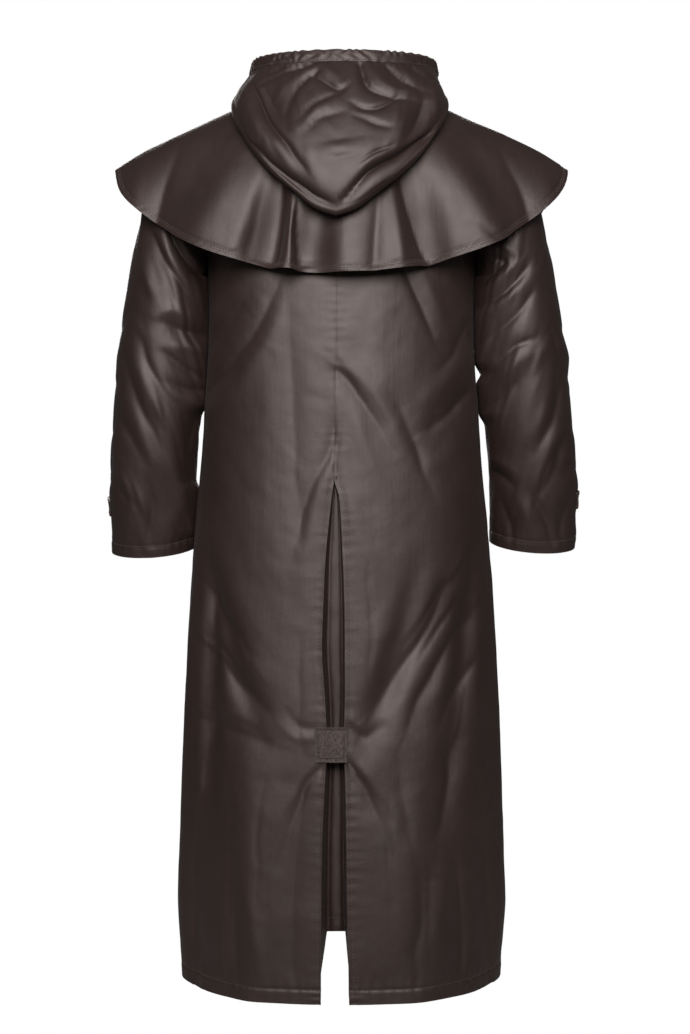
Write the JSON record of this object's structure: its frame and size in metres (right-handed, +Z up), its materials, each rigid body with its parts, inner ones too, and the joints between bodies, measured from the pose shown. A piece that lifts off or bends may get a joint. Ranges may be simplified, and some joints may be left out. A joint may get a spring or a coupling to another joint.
{
  "type": "duster_coat",
  "caption": "Full-length dark brown waterproof riding coat with shoulder cape, hood lying down the back, centre back vent with pleated gusset and strap, worn shape",
  "frame": {"origin": "the middle of the neck opening at the height of the neck seam, where the wearer's shoulders hold the coat", "axes": "+Z up, the front of the coat faces -Y, its back faces +Y, the wearer's left is +X"},
  "size_m": [0.7215, 0.3881, 1.3751],
  "materials": {
    "shell_cloth": "coated satin weave, slightly glossy, dark brown",
    "tab_webbing": "matt woven strip",
    "stud_metal": "dark lacquered press stud cap"
  },
  "bodies": {
    "root": {"back_left": "shell_cloth", "back_right": "shell_cloth", "front_left": "shell_cloth", "front_right": "shell_cloth", "placket": "shell_cloth", "sleeve_left": "shell_cloth", "sleeve_right": "shell_cloth", "cape": "shell_cloth", "hood": "shell_cloth", "hood_channel": "shell_cloth", "gusset": "shell_cloth", "vent_tab": "tab_webbing", "cuff_tab_left": "shell_cloth", "cuff_tab_right": "shell_cloth", "cuff_stud_left": "stud_metal", "cuff_stud_right": "stud_metal", "stud_1": "stud_metal", "stud_2": "stud_metal", "stud_3": "stud_metal", "stud_4": "stud_metal", "stud_5": "stud_metal", "stud_6": "stud_metal", "stud_7": "stud_metal"}
  },
  "joints": []
}
